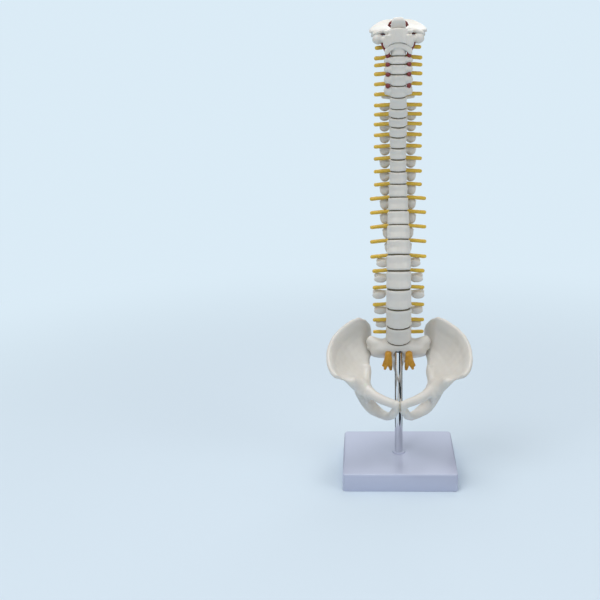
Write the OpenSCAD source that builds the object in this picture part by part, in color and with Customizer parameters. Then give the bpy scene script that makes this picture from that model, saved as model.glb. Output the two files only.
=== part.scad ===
// Half-size model of a human spine with pelvis, standing on a plate by a chrome rod.
// The front faces -Y, up is +Z, and the rod's axis is X = Y = 0. Lengths are in millimetres.

/* [Stand] */
// Side of the square base plate
base_w = 112; // [100:1:130]
// Height of the base plate
base_h = 18; // [15:0.5:24]
// Wall of the hollow base plate
base_wall = 2.4; // [1.6:0.1:3.2]
// Radius of the base plate's upright corners
base_corner = 4; // [3:0.5:10]
// Height of the small boss round the rod's foot
boss_rise = 1.2; // [0.6:0.1:3]
// Diameter of the support rod
rod_d = 8; // [7:0.1:8.6]
// Diameter of the rod's threaded stud
stud_d = 5; // [4:0.1:6]
// Width across the flats of the nut
nut_af = 8; // [7.5:0.5:11]
// Gap between a round part and its hole
slip = 0.1; // [0.05:0.01:0.15]

/* [Column] */
// Height of the lowest disc's centre above the table
column_z = 137.4; // [130:0.2:145]
// Distance of the lowest disc's centre behind the rod's axis
column_y = 1; // [0.6:0.1:1.4]
// Width of the widest lumbar body
lumbar_w = 25.4; // [24:0.2:27]
// Width of the narrowest thoracic body
thoracic_w = 15; // [14:0.2:16.5]
// Width of a cervical body
cervical_w = 15; // [14:0.2:16]
// Front to back depth of a lumbar body
lumbar_depth = 19; // [17.5:0.2:20.4]
// Front to back depth of a cervical body
cervical_depth = 9; // [8.4:0.1:9.6]
// Distance from disc to disc in the middle of the lumbar part
lumbar_pitch = 19.2; // [18.4:0.1:21]
// Distance from disc to disc at the top of the thoracic part
thoracic_pitch = 9.2; // [9:0.1:10.5]
// Distance from disc to disc in the cervical part
cervical_pitch = 10.8; // [10.4:0.1:12]
// Thickness of a lumbar disc
lumbar_disc = 1.8; // [1.2:0.1:2.4]
// Thickness of a thoracic disc
thoracic_disc = 1.4; // [1:0.1:1.8]
// Thickness of a cervical disc
cervical_disc = 1.3; // [1:0.1:1.6]
// Distance that a disc's edge lies inside the bodies' rims
disc_inset = 0.6; // [0.3:0.1:1]
// Diameter of the steel wire through the bodies
wire_d = 3; // [2:0.1:3.4]
// Gap between bones that only lie against each other
joint_gap = 0.4; // [0.3:0.05:0.5]

/* [Canal and nerves] */
// Radius of the canal in a lumbar vertebra
lumbar_canal = 4.6; // [4.4:0.1:5]
// Radius of the canal in a thoracic vertebra
thoracic_canal = 3.6; // [3.5:0.1:3.9]
// Radius of the canal in a cervical vertebra
cervical_canal = 4.4; // [4.2:0.1:4.6]
// Gap between the cord and the wall of the canal
cord_gap = 1.3; // [0.9:0.1:1.7]
// Diameter of a nerve root
nerve_d = 3; // [2.4:0.1:3.2]
// Distance from the middle to the tip of a lumbar nerve root
nerve_reach = 25; // [23:0.5:28]
// Angle at which a nerve root falls away
nerve_fall = 5; // [2:0.5:7]
// Diameter of a vertebral artery
artery_d = 2.6; // [2.2:0.1:2.8]

/* [Pelvis] */
// Width across the two iliac crests
hip_w = 139; // [134:1:146]
// Height of the iliac crest above the lowest disc
crest_rise = 20; // [17:0.5:23]
// Thickness of the iliac crest
crest_t = 5; // [4:0.2:6]
// Thickness of the iliac wing at its thinnest
wing_t = 2; // [1.6:0.1:3]
// Radius of the hip socket
socket_r = 11.5; // [10.5:0.1:12.2]
// Wall of the hip socket
socket_wall = 2.6; // [2:0.1:3.2]
// Thickness of the cushion between the two pubic bones
pubic_gap = 1.2; // [0.8:0.1:3]
// Diameter of a hole in the sacrum
foramen_d = 3.4; // [3.3:0.1:3.8]

/* [Hidden] */
$fn = 48;
LUMBAR = ["l5", "l4", "l3", "l2", "l1"];
THORACIC = ["t12", "t11", "t10", "t9", "t8", "t7", "t6", "t5", "t4", "t3", "t2", "t1"];
CERVICAL = ["c7", "c6", "c5", "c4", "c3"];
BONES = concat(LUMBAR, THORACIC, CERVICAL);
BELOW = concat(["s1"], BONES);
ABOVE = concat(BONES, ["c2"]);
DISCS = [for (j = [0 : 22]) str("disc_", ABOVE[j], "_", BELOW[j])];

bone_colour = "#ece8df";
disc_colour = "#9c8a5e";
cartilage_colour = "#cfc6ac";
nerve_colour = "#dbb43a";
artery_colour = "#8f1d16";
steel_colour = "#b9bcc0";
base_colour = "#c8cbe0";

// Places of the lowest thoracic bone, the lowest cervical bone and the axis in the column
T12 = 5;
C7 = 17;
C2 = 22;

// Forward lean of each disc, from the sacrum up to the axis
LEAN = [
    [0, 30], [1, 17], [2, 6], [3, -3], [4, -10], [5, -15], [7, -15], [9, -10],
    [11, -2], [13, 7], [15, 15], [17, 21], [18, 20], [20, 6], [22, -8]
];
PITCH = [
    [0, lumbar_pitch - 1], [1, lumbar_pitch], [2, lumbar_pitch], [3, lumbar_pitch - 1.6],
    [4, lumbar_pitch - 4.1], [5, thoracic_pitch + 5.4], [9, thoracic_pitch + 3.4],
    [13, thoracic_pitch + 1.6], [16, thoracic_pitch - 0.2], [17, cervical_pitch + 0.6],
    [19, cervical_pitch - 0.4], [21, cervical_pitch - 3.5]
];
DISC_T = [[4.5, lumbar_disc], [5.5, thoracic_disc], [16.5, thoracic_disc], [17, cervical_disc]];
WIDTH = [
    [0, lumbar_w], [1, lumbar_w], [4, lumbar_w - 1.4], [5, thoracic_w + 8], [7, thoracic_w + 6],
    [9, thoracic_w + 3], [11, thoracic_w + 1], [13, thoracic_w], [16, thoracic_w + 1],
    [17, cervical_w + 1.4], [18, cervical_w], [21, cervical_w - 0.6], [22, cervical_w - 1]
];
DEPTH = [
    [0, lumbar_depth], [5, lumbar_depth - 1.5], [10, lumbar_depth - 5],
    [16, cervical_depth + 2], [17, cervical_depth + 0.6], [18, cervical_depth], [22, cervical_depth - 0.6]
];
CANAL = [
    [0, lumbar_canal], [4, lumbar_canal], [7, thoracic_canal], [15, thoracic_canal], [18, cervical_canal]
];

function unit(v) = v / norm(v);
function mix(a, b, t) = a + (b - a) * t;
function lean(v, a) = [v[0], v[1] * cos(a) - v[2] * sin(a), v[1] * sin(a) + v[2] * cos(a)];
function power(v, e) = sign(v) * pow(abs(v), e);
function tilt(j) = lookup(j, LEAN);
function pitch(j) = lookup(j, PITCH);
function level(j) = j == 0
    ? [0, column_y, column_z]
    : level(j - 1) + lean([0, 0, pitch(j - 1)], (tilt(j - 1) + tilt(j)) / 2);
LEVEL = [for (j = [0 : C2]) level(j)];

function half_disc(j) = lean([0, 0, lookup(j, DISC_T) / 2], tilt(j));
function foot(j) = LEVEL[j] + half_disc(j);
function crown(j) = LEVEL[j + 1] - half_disc(j + 1);
function height(j) = norm(crown(j) - foot(j));
function slant(j) = (tilt(j) + tilt(j + 1)) / 2;
function middle(j) = (foot(j) + crown(j)) / 2;
function back_wall(j) = 0.7 * lookup(j, DEPTH) / 2;
function canal(j) = lookup(j, CANAL);
function canal_y(j) = back_wall(j) + canal(j) - joint_gap;
function cord_r(j) = canal(j) - cord_gap - 0.3;
function canal_point(j) = middle(j) + lean([0, canal_y(j), 0], slant(j));

// Outline of a vertebral body, hollowed at the back, as [x, y] points
function kidney(w, d, e = 1, n = 20) = [
    for (i = [0 : n - 1])
        let (c = cos(360 * i / n), s = sin(360 * i / n))
        [w / 2 * power(c, e), d / 2 * (s < 0 ? power(s, e) : 0.85 * power(s, e) - 0.15 * pow(s, 6))]
];
function placed(outline, centre, a) = [for (p = outline) centre + lean([p[0], p[1], 0], a)];

// Point on the smooth curve through the points P, at t from 0 to 1
function curve(P, t) =
    let (m = len(P) - 1, k = min(floor(t * m), m - 1), u = t * m - k)
    let (b = P[k], c = P[k + 1])
    let (a = k > 0 ? P[k - 1] : 2 * b - c, d = k < m - 1 ? P[k + 2] : 2 * c - b)
    b + 0.5 * u * (c - a + u * (2 * a - 5 * b + 4 * c - d + u * (3 * (b - c) + d - a)));

// Solid through a row of rings with equal counts of points, each turning left as seen from the last
module loft(rings, flat_ends = true) {
    n = len(rings[0]);
    m = len(rings) - 1;
    sides = [
        for (k = [0 : m - 1], i = [0 : n - 1])
            let (a = k * n + i, b = k * n + (i + 1) % n)
            each [[a, a + n, b + n], [a, b + n, b]]
    ];
    strip = [for (i = [0 : n / 2 - 2]) each [[i, i + 1, n - 2 - i], [i, n - 2 - i, n - 1 - i]]];
    ends = flat_ends
        ? [[for (i = [0 : n - 1]) i], [for (i = [n - 1 : -1 : 0]) m * n + i]]
        : concat(strip, [for (f = strip) [for (i = [2 : -1 : 0]) m * n + f[i]]]);
    polyhedron([for (r = rings) each r], concat(sides, ends));
}

// Bar along the smooth curve through path, with half sizes [side, top] given at equal steps
module limb(path, sizes, steps = 6, n = 8, top = [0, 1, 0]) {
    loft([
        for (k = [0 : steps])
            let (t = k / steps, p = curve(path, t), s = curve(sizes, t))
            let (q = curve(path, min(1, t + 0.02)) - curve(path, max(0, t - 0.02)))
            let (g = unit(q), h = unit(cross(top, g)), v = cross(g, h))
            [for (i = [0 : n - 1]) p + s[0] * cos(360 * i / n) * h + s[1] * sin(360 * i / n) * v]
    ]);
}

// Turns +Z to the direction from p to q, with p at the origin
module aim(p, q) {
    d = q - p;
    translate(p) rotate([0, acos(d[2] / norm(d)), atan2(d[1], d[0])]) children();
}

// Round bar from p to q with a narrowed nose at q
module club(p, q, r1, r2) {
    h = norm(q - p);
    aim(p, q) rotate_extrude() polygon([
        [0, 0], [r1, 0], [0.9 * mix(r1, r2, 0.4), 0.4 * h], [r2, h - 1.3 * r2],
        [r2, h - 0.6 * r2], [0.5 * r2, h], [0, h]
    ]);
}

module both_sides() {
    children();
    mirror([1, 0, 0]) children();
}

// Half of an arch round a canal of radius r, open to the front
module arch(r, t, h, drop) {
    rotate([-drop, 0, 0]) rotate([0, 0, -24]) rotate_extrude(angle = 228) polygon([
        [r, -0.3 * h], [r, 0.3 * h], [r + 0.3 * t, 0.5 * h], [r + 0.7 * t, 0.5 * h],
        [r + t, 0.25 * h], [r + t, -0.25 * h], [r + 0.7 * t, -0.5 * h], [r + 0.3 * t, -0.5 * h]
    ]);
}

// Upright plate that runs back along +Y from the origin and falls by angle fall
module blade(length, root, tip, t, fall) {
    rotate([-fall, 0, 0]) rotate([90, 0, 90]) linear_extrude(t, center = true) polygon([
        [0, root / 2], [0.35 * length, 0.4 * root], [0.8 * length, tip / 2], [length, 0.3 * tip],
        [length, -0.35 * tip], [0.85 * length, -tip / 2], [0.4 * length, -0.4 * root], [0, -root / 2]
    ]);
}

// Waisted drum between two discs
module body(j) {
    w = lookup(j, WIDTH);
    d = lookup(j, DEPTH);
    waist = [[0, 0.97], [0.12, 1], [0.5, 0.9], [0.88, 0.99], [1, 0.96]];
    loft([
        for (s = waist)
            placed(kidney(w * s[1], d * s[1]), mix(foot(j), crown(j), s[0]), mix(tilt(j), tilt(j + 1), s[0]))
    ]);
}

module at_middle(j) {
    translate(middle(j)) rotate([slant(j), 0, 0]) children();
}

module wire_bore(j) {
    aim(LEVEL[j], LEVEL[j + 1]) translate([0, 0, -1]) cylinder(d = wire_d + 2 * slip, h = pitch(j) + 2);
}

// Joint processes that reach up on the outer side and down on the inner side
module facets(up_x, down_x, y, gap_y, r, h, up, down) {
    both_sides() {
        club([up_x, y, 0], [up_x, y + 0.3, up * h], r, 0.86 * r);
        club([down_x, y + 0.6 * gap_y, 0], [down_x, y + gap_y, -down * h], r, 0.86 * r);
    }
}

module pedicles(j, r, t) {
    z = 0.12 * height(j);
    both_sides() aim(
        [0.32 * lookup(j, WIDTH), 0.2 * lookup(j, DEPTH), z],
        [canal(j) + t / 2, canal_y(j), z]
    ) cylinder(h = 0.75 * canal_y(j), r = r);
}

module lumbar_processes(j) {
    h = height(j);
    y = canal_y(j);
    reach = lookup(j, [[0, 22.5], [1, 24], [2, 25.5], [3, 24], [4, 21.5]]);
    translate([0, y, 0.04 * h]) arch(canal(j), 2.4, 0.42 * h, 14);
    translate([0, y + canal(j) + 0.6, -0.02 * h]) blade(13, 0.44 * h, 0.52 * h, 2.8, 12);
    both_sides() translate([canal(j), y, 0.12 * h]) rotate([90, 0, 8]) {
        root = canal(j);
        linear_extrude(2.4, center = true) polygon([
            [0, -2.4], [0, 2.6], [0.5 * (reach - root), 2.5], [reach - root - 2.5, 3.2],
            [reach - root - 0.6, 2.2], [reach - root, 0.2], [reach - root - 0.9, -2.1],
            [reach - root - 3, -3.1], [0.45 * (reach - root), -2.1]
        ]);
    }
    facets(canal(j) + 2.4, canal(j) - 0.8, y + 2, 2.4, 1.8, h, 0.6, 0.68);
}

module thoracic_processes(j) {
    h = height(j);
    y = canal_y(j);
    reach = lookup(j, [[5, 13], [6, 15], [7, 17.5], [16, 17.5]]);
    fall = lookup(j, [[5, 14], [7, 34], [9, 50], [13, 52], [15, 38], [16, 26]]);
    length = lookup(j, [[5, 11], [9, 13], [13, 13], [16, 12]]);
    translate([0, y, 0.04 * h]) arch(canal(j), 2, 0.44 * h, 10);
    translate([0, y + canal(j) + 0.6, 0]) blade(length, 0.4 * h, 0.3 * h, 2.4, fall);
    both_sides() club([canal(j) + 0.8, y + 1, 0.1 * h], [reach, y + 6, 0.26 * h], 2, 1.9);
    facets(canal(j) + 0.9, canal(j) - 0.5, y + 2, 3.2, 1.4, h, 0.6, 0.62);
}

artery_gap = 0.5;
// Side hole for the artery, as a point in the vertebra's own frame
function artery_hole(j) = [lookup(j, WIDTH) / 2 + artery_d / 2 + 1, 0.2 * lookup(j, DEPTH), 0];

module cervical_processes(j) {
    h = height(j);
    y = canal_y(j);
    a = artery_hole(j);
    bore_r = artery_d / 2 + artery_gap;
    length = lookup(j, [[17, 12], [18, 8.5], [19, 7], [21, 6.5]]);
    translate([0, y, 0]) arch(canal(j), 1.8, 0.42 * h, 12);
    translate([0, y + canal(j) + 0.5, 0]) blade(length, 0.42 * h, 0.34 * h, 2.2, 22);
    if (j > C7) {
        both_sides() translate([0, y + canal(j) + 0.5, 0]) rotate([-22, 0, 0])
            club([0.6, length - 3, 0], [2.6, length + 0.8, -0.4], 1.2, 1);
    }
    if (j == C7) {
        both_sides() club([canal(j) + 0.6, y + 0.6, 0.1 * h], [15.6, y + 3.4, 0.12 * h], 1.9, 1.8);
    } else {
        both_sides() difference() {
            union() {
                translate(a - [0, 0, 0.35 * h]) cylinder(r = bore_r + 1.2, h = 0.68 * h);
                club(a, a + [3.4, 1.2, -0.06 * h], 2.2, 1.9);
                club([0.3 * lookup(j, WIDTH), a[1] - 0.8, 0], a + [0.6, -0.8, 0], 2.8, 2.4);
                club(a + [1, 1, 0], [canal(j) + 1.6, y + 2, 0.06 * h], 1.5, 1.6);
            }
            translate(a - [0, 0, h]) cylinder(r = bore_r, h = 2 * h);
        }
    }
    facets(canal(j) + 1.4, canal(j) + 1, y + 2.6, 3.2, 1.4, h, 0.5, 0.54);
}

module vertebra(j) {
    pedicle_r = j < T12 ? 0.15 * height(j) : j < C7 ? 0.17 * height(j) : 0.18 * height(j);
    color(bone_colour) difference() {
        union() {
            body(j);
            at_middle(j) {
                pedicles(j, pedicle_r, 2);
                if (j < T12) lumbar_processes(j);
                else if (j < C7) thoracic_processes(j);
                else cervical_processes(j);
            }
        }
        wire_bore(j);
    }
}

module disc(j) {
    w = min(lookup(max(j - 1, 0), WIDTH), lookup(j, WIDTH)) * 0.96 - 2 * disc_inset;
    d = min(lookup(max(j - 1, 0), DEPTH), lookup(j, DEPTH)) * 0.96 - 2 * disc_inset;
    t = norm(half_disc(j)) * 2;
    color(disc_colour) translate(LEVEL[j]) rotate([tilt(j), 0, 0]) difference() {
        translate([0, 0, -t / 2]) linear_extrude(t) polygon(kidney(w, d, n = 32));
        cylinder(d = wire_d + 4 * slip, h = t + 2, center = true);
    }
}

// Rods, cord, nerves and arteries

// Depth that the wire reaches into the sacrum, and height that it reaches into the axis
wire_tail = 5;
wire_head = 9;
// Height of the rod's flat top, which ends inside the sacrum
rod_top = column_z - 6.4;

module spine_wire() {
    stations = concat(
        [LEVEL[0] - lean([0, 0, wire_tail], tilt(0))], LEVEL, [LEVEL[C2] + [0, 0, wire_head]]
    );
    leans = concat([tilt(0)], [for (j = [0 : C2]) tilt(j)], [0]);
    ring = [for (i = [0 : 7]) wire_d / 2 * [cos(45 * i), sin(45 * i)]];
    color(steel_colour) loft([for (k = [0 : len(stations) - 1]) placed(ring, stations[k], leans[k])]);
}

// Origins of two upright frames: the pelvis's in the lowest disc, the head's in the highest
PELVIS = LEVEL[0];
HEAD = LEVEL[C2];
// Centre of the cord where it passes the axis, the atlas and the skull, from the head's frame
head_canal_y = back_wall(C2) + cervical_canal - joint_gap;
CORD_HEAD = [[0, head_canal_y, 4], [0, head_canal_y + 0.3, 15], [0, head_canal_y + 1.4, 24]];

module nerve(p, q) {
    r = nerve_d / 2;
    aim(p, q) rotate_extrude() polygon([
        [0, 0], [r, 0], [r, norm(q - p) - 1], [0.6 * r, norm(q - p)], [0, norm(q - p)]
    ]);
}

// Centre of the nerve pair over disc j, in the disc's own frame
function nerve_start(j) = [0, (canal_y(max(j - 1, 0)) + canal_y(min(j, C2 - 1))) / 2 - 1.4, 0.9];
function nerve_out(j) = nerve_reach + lookup(j, [[4, 0], [5, 2], [9, 2], [10, -2], [16, -2.5], [22, -3]]);

module spinal_cord() {
    ring = [for (i = [0 : 7]) [cos(45 * i + 22.5), sin(45 * i + 22.5)]];
    tail = LEVEL[0] + lean([0, canal_y(0) - 0.6, -9], tilt(0) + 4);
    color(nerve_colour) {
        loft(concat(
            [placed(0.5 * cord_r(0) * ring, tail, tilt(0) + 4)],
            [for (j = [0 : C2 - 1]) placed(cord_r(j) * ring, canal_point(j), slant(j))],
            [for (p = CORD_HEAD) placed(cord_r(C2) * ring, HEAD + p, 0)]
        ));
        for (j = [0 : C2]) translate(LEVEL[j]) rotate([tilt(j), 0, 0]) both_sides() {
            p = nerve_start(j);
            nerve(p, p + nerve_out(j) * [cos(nerve_fall), 0.08, -sin(nerve_fall)]);
        }
        translate(HEAD) both_sides()
            nerve([0, head_canal_y, 9], [nerve_reach - 4, head_canal_y + 2.4, 7.4]);
    }
}

// Route of the left vertebral artery above the third cervical bone, from the head's frame
ARTERY_HEAD = [
    [10, 2.2, 1.5], [13.6, 3, 8.5], [15.4, 3.4, 14], [15.6, 4, 19.2], [13, 9.4, 19.8],
    [5, 11, 20.2], [4.6, 9, 25.4], [8.6, 7, 27.6], [5.4, 4.8, 30.8], [0.2, 3.8, 31.6]
];

module vertebral_arteries() {
    low = [for (j = [C7 + 1 : C2 - 1]) middle(j) + lean(artery_hole(j), slant(j))];
    high = [for (p = ARTERY_HEAD) HEAD + p];
    r = artery_d / 2;
    color(artery_colour) both_sides()
        limb(concat([low[0] - lean([0, 0, 4.4], slant(C7 + 1))], low, high), [[r, r], [r, r]], 28, 8);
}

// Nerves that leave the sacrum's front holes: the hole, where the nerve starts and leaves it,
// and two more points of its route from there
SACRAL_ROOTS = [
    [3, -4, -10.5, [0.4, -3.2, -4.4], [4.6, -3, -14.4]],
    [4, -3, -9, [-0.4, -6.4, -2.6], [-1.4, -9, -8.4]],
    [5, -2, -7, [0.6, -4.4, -1.4], [1.6, -7, -4.4]]
];

module sacral_nerves() {
    color(nerve_colour) both_sides() {
        for (r = SACRAL_ROOTS) {
            out = PELVIS + sacral_hole(r[0], r[2]);
            limb(
                [PELVIS + sacral_hole(r[0], r[1]), out, out + r[3], out + r[4]],
                [[1.5, 1.5], [1.5, 1.5], [2.5, 2.5], [1.3, 1.3]], 7, 8, [1, 0, 0]
            );
        }
    }
}

// Axis, atlas and skull fragment

// Radius of the axis's curved shoulders and the height of their top above the head's frame
shoulder_r = 16;
shoulder_top = 12.2;
shoulder_half_w = 12.4;
dens_top = 19.4;

module axis_c2() {
    w = lookup(C2, WIDTH);
    d = lookup(C2, DEPTH);
    color(bone_colour) difference() {
        union() {
            loft([
                placed(kidney(0.97 * w, 0.97 * d), foot(C2), tilt(C2)),
                placed(kidney(w, d), HEAD + [0, 0, 2], tilt(C2) / 2),
                placed(kidney(0.86 * w, 0.86 * d), HEAD + [0, 0, 5], 0),
                placed(kidney(0.9 * w, 0.9 * d), HEAD + [0, 0, 9.4], 0)
            ]);
            translate(HEAD) {
                // Shoulders
                intersection() {
                    translate([0, 0, shoulder_top - shoulder_r]) rotate([90, 0, 0]) difference() {
                        cylinder(r = shoulder_r, h = 9, center = true);
                        cylinder(r = shoulder_r - 4.6, h = 10, center = true);
                    }
                    translate([-shoulder_half_w, -5, 2]) cube([2 * shoulder_half_w, 8.6, 20]);
                }
                // Peg that the atlas turns on
                club([0, 0.2, 8], [0, 0.6, dens_top], 2.3, 1.9);
                translate([0, head_canal_y, 5]) arch(cervical_canal, 2, 4, 10);
                both_sides() {
                    aim([3.6, 2, 5.2], [cervical_canal + 1, head_canal_y, 5]) cylinder(h = 6, r = 1.6);
                    aim([5.4, 1, 4.4], [8.6, 1.6, 9.2]) cylinder(h = 6, r = 1.9);
                    club([cervical_canal + 1, head_canal_y + 4, 4], [6, head_canal_y + 6.2, -3.6], 1.5, 1.3);
                    club([0.8, head_canal_y + 6, 3.6], [3, head_canal_y + 13, 0.6], 2, 1.6);
                }
                translate([0, head_canal_y + cervical_canal + 0.6, 4.2]) blade(8, 4, 3.8, 2.6, 18);
            }
        }
        translate(LEVEL[C2]) cylinder(d = wire_d + 2 * slip, h = wire_head + slip);
        translate(LEVEL[C2] - [0, 0, 1]) cylinder(d = wire_d + 2 * slip, h = 2);
        translate(HEAD) both_sides() aim([9.4, 2.3, -1.6], [14, 3.05, 9.4])
            cylinder(r = artery_d / 2 + 0.6, h = 14);
    }
}

module atlas_c1() {
    inner = 7.2;
    ring_y = 4;
    color(bone_colour) translate(HEAD) difference() {
        union() {
            // Ring, with its rear half low and round
            translate([0, ring_y, 15.8]) rotate_extrude() polygon([
                [inner - 0.5, -2], [inner - 0.5, 2], [inner + 0.8, 2.8], [inner + 2, 2.8],
                [inner + 2.8, 1.6], [inner + 2.8, -1.6], [inner + 2, -2.8], [inner + 0.8, -2.8]
            ]);
            // Broad front
            intersection() {
                translate([0, -6.2, 0]) rotate([-90, 0, 0]) linear_extrude(3.2) polygon([
                    [-12, -8], [-12.4, -13], [-11, -18], [-9.4, -22], [-6, -24.6], [0, -25.4],
                    [6, -24.6], [9.4, -22], [11, -18], [12.4, -13], [12, -8]
                ]);
                translate([0, 8, 4]) cylinder(r1 = 15.6, r2 = 14, h = 24);
            }
            // Side masses that carry the skull and rest on the axis
            both_sides() {
                translate([8.8, -0.4, 8]) linear_extrude(11.2) kidney_plate(7.6, 11);
                club([9, 1.6, 14.6], [15.4, 3.4, 15], 3, 3.4);
                club([14, 3.2, 15], [21, 4.2, 14.6], 3, 2);
            }
            translate([0, ring_y + inner + 1.4, 16]) rotate([-90, 0, 0]) cylinder(h = 3, r1 = 2.2, r2 = 1.2);
        }
        // Hollow underside, one gap clear of the axis's shoulders
        translate([0, 0, shoulder_top - shoulder_r]) rotate([90, 0, 0])
            cylinder(r = shoulder_r + joint_gap, h = 40, center = true);
        // Canal
        translate([0, ring_y, 0]) cylinder(r = inner, h = 19.6);
        both_sides() {
            translate([15.5, 3.7, 13]) cylinder(r = artery_d / 2 + 0.6, h = 9);
            aim([15.5, 3.6, 14], [13.4, 3, 8]) cylinder(r = artery_d / 2 + 0.6, h = 8);
        }
        // Cups for the skull's knuckles
        both_sides() translate(KNUCKLE) sphere(r = knuckle_r + joint_gap);
    }
}

module kidney_plate(w, d) {
    polygon(kidney(w, d, n = 20));
}

// Skull knuckle's centre from the head's frame, and its radius
KNUCKLE = [8, 2, 22.8];
knuckle_r = 5;
skull_floor = 20;
skull_r = 84;
skull_tilt = 9;
skull_wall = 2.4;
foramen_magnum_r = 7.4;

module occipital_bone() {
    color(bone_colour) translate(HEAD) difference() {
        union() {
            // Shallow dish cut from a sphere
            intersection() {
                translate([0, 4, skull_floor]) rotate([skull_tilt, 0, 0]) translate([0, 8, skull_r])
                difference() {
                    sphere(r = skull_r, $fn = 128);
                    sphere(r = skull_r - skull_wall, $fn = 128);
                }
                translate([0, 0, skull_floor - 3]) linear_extrude(20) polygon([
                    [-6.6, -0.6], [6.6, -0.6], [9.6, 2.6], [14, 2.4], [19, 4.6], [23.4, 8.6], [26.4, 13.4],
                    [26.4, 18], [24, 24.6], [19, 31], [12.4, 35.6], [5, 37.6], [-5, 37.6], [-12.4, 35.6],
                    [-19, 31], [-24, 24.6], [-26.4, 18], [-26.4, 13.4], [-23.4, 8.6], [-19, 4.6],
                    [-14, 2.4], [-9.6, 2.6]
                ]);
            }
            // Front wedge that rises to the nose
            translate([0, 0, skull_floor]) intersection() {
                rotate([90, 0, 90]) linear_extrude(14, center = true) polygon([
                    [2.4, 3.4], [3, 5.6], [1, 11.4], [-0.6, 14.6], [-3.4, 14.4], [-4.8, 11.6],
                    [-2.4, 5.4], [-1, 0.6], [1.4, 0.2]
                ]);
                rotate([90, 0, 0]) linear_extrude(14, center = true) polygon([
                    [-6.6, 0], [-6.6, 6], [-6, 11], [-4.4, 14], [-2.4, 15], [2.4, 15],
                    [4.4, 14], [6, 11], [6.6, 6], [6.6, 0]
                ]);
            }
            both_sides() {
                intersection() {
                    translate(KNUCKLE) sphere(r = knuckle_r);
                    translate(KNUCKLE - [10, 10, 10]) cube([20, 20, 10.4]);
                }
                // Thick rims of the dish
                club([16.4, 9, skull_floor + 1.6], [24.6, 14.4, skull_floor + 3], 2.4, 2.2);
            }
        }
        translate([0, head_canal_y + 1.6, skull_floor - 8]) cylinder(r = foramen_magnum_r, h = 20);
    }
}

// Sacrum and hip bones, in a frame with its origin in the lowest disc

// Half distance between the two hip bones at the top of the sacrum, and how far it narrows below
side_x = 26.6;
side_lean = 3;

// Sections from the top plate down: distance from the last one, lean, half width, depth, squareness
SACRUM = [
    [0, 30, lumbar_w / 2, lumbar_depth, 1], [2, 30, lumbar_w / 2 + 2.4, lumbar_depth + 1, 1],
    [4.5, 32, 25, 20, 0.8], [6, 40, 31, 20, 0.7], [9, 52, 31, 17, 0.7], [8, 60, 27, 13, 0.75],
    [8, 60, 16, 10, 0.8], [7, 45, 11, 8, 0.85], [7, 25, 7.5, 6.5, 0.9], [6, 0, 5, 5.4, 1],
    [5, -25, 3.6, 4.2, 1], [5, -45, 2, 3, 1]
];
function sacral_centre(k) = k == 0
    ? -half_disc(0)
    : sacral_centre(k - 1) - lean([0, 0, SACRUM[k][0]], SACRUM[k][1]);
sacral_count = len(SACRUM) - 1;
// Point of the rear crest beside section k, at rise above the back, in the plane X = 0
function crest_point(k, rise) =
    let (a = floor(k), b = ceil(k))
    let (c = (sacral_centre(a) + sacral_centre(b)) / 2, d = 0.175 * (SACRUM[a][3] + SACRUM[b][3]))
    let (p = c + lean([0, d + rise, 0], (SACRUM[a][1] + SACRUM[b][1]) / 2))
    [p[1], p[2]];
// Point on the axis of the hole at section k, at y behind the section's centre
function sacral_hole(k, y) =
    sacral_centre(k) + lean([9.6 - 0.7 * (k - 3), y, k == 3 ? 4.6 : -1.6], SACRUM[k][1] + 6);

// Planes where the sacrum's sides meet the hip bones, as the space between them
module between_hips() {
    half = side_x * 2;
    both_sides() translate([side_x, 0, 0]) rotate([0, side_lean, 0])
        translate([-half, 0, -90]) cube([half, 100, 91]);
}

module sacrum() {
    color(bone_colour) translate(PELVIS) difference() {
        union() {
            intersection() {
                loft([
                    for (k = [sacral_count : -1 : 0])
                        let (s = SACRUM[k])
                        placed(kidney(2 * s[2], s[3], s[4], 24), sacral_centre(k), s[1])
                ]);
                union() {
                    translate([0, -30, 0]) between_hips();
                    translate([-40, -30, -90]) cube([80, 31, 110]);
                }
            }
            // Crest down the back
            rotate([90, 0, 90]) linear_extrude(2.6, center = true) polygon(concat(
                [for (k = [3.5 : 0.5 : 7.5]) crest_point(k, k == floor(k) ? 5.4 - 0.5 * k : 3 - 0.3 * k)],
                [for (k = [7 : -1 : 4]) crest_point(k, -2.5)]
            ));
            // Arches over the canal
            for (k = [2, 3]) translate(sacral_centre(k)) rotate([SACRUM[k][1], 0, 0])
                translate([0, canal_y(0) - 0.4 * k, -3.6]) arch(lumbar_canal - 0.3 * k, 2.2, 5.6, 12);
            // Joint processes for the lowest vertebra
            rotate([tilt(0), 0, 0]) both_sides()
                translate([lumbar_canal, canal_y(0), 0]) club([2.2, 1.8, -9], [2.8, 3, 2.4], 2.2, 1.8);
        }
        // Front and rear holes
        for (k = [3 : 6]) both_sides()
            aim(sacral_hole(k, 0), sacral_hole(k, 1)) cylinder(d = foramen_d, h = 40, center = true);
        // Socket for the rod
        translate([0, -column_y, rod_top - column_z - 40]) cylinder(d = rod_d + 2 * slip, h = 40);
        // Socket for the wire
        rotate([tilt(0), 0, 0]) translate([0, 0, -wire_tail - slip]) cylinder(d = wire_d + 2 * slip, h = 12);
    }
}

// Crest of the iliac wing from its front spine to its rear spine, for the side on +X
CREST = [
    [hip_w / 2 - 8.5, -47, -22.5], [hip_w / 2 - 3, -42, -19], [hip_w / 2, -32, -12],
    [hip_w / 2, -21, -4.5], [hip_w / 2 - 3.5, -11, crest_rise - 16.5], [hip_w / 2 - 11, -2, crest_rise - 9],
    [hip_w / 2 - 20.5, 4, crest_rise - 3.5], [hip_w / 2 - 29.5, 9, crest_rise],
    [side_x + 5.4, 17, crest_rise - 5.5], [side_x + 2.4, 27, 5.5], [side_x + 1.4, 34, -4.5]
];
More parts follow.
